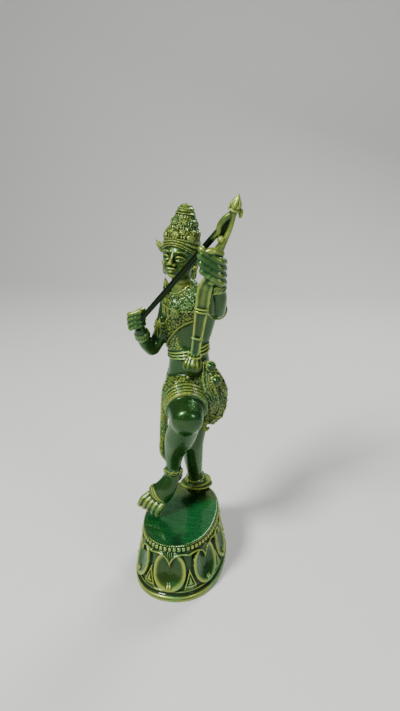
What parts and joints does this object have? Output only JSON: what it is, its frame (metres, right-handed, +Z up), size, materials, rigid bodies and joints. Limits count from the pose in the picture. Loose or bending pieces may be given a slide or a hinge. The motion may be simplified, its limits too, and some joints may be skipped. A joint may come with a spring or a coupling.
{
  "type": "bronze archer figure on a lotus plinth",
  "caption": "Cast bronze archer with a tall tiered crown and patterned wrapped dress, holding a drawn bow, standing on an oval lotus plinth.",
  "frame": {"origin": "centre of the oval plinth's flat underside", "axes": "+Z up to the tip of the bow, +Y along the plinth's long axis towards the archer's back, +X to the right as seen from the front"},
  "size_m": [0.0855, 0.11, 0.3052],
  "materials": {
    "figure_bronze": "dark glossy green patina in the hollows and on plain skin, yellow-green on raised ornament",
    "bow_bronze": "olive green patina with rubbed lighter edges, the string bar nearly black",
    "plinth_bronze": "olive green patina on the petals, smooth emerald green on the plate"
  },
  "bodies": {
    "root": {"figure": "figure_bronze", "bow": "bow_bronze", "lotus_plinth": "plinth_bronze"}
  },
  "joints": []
}
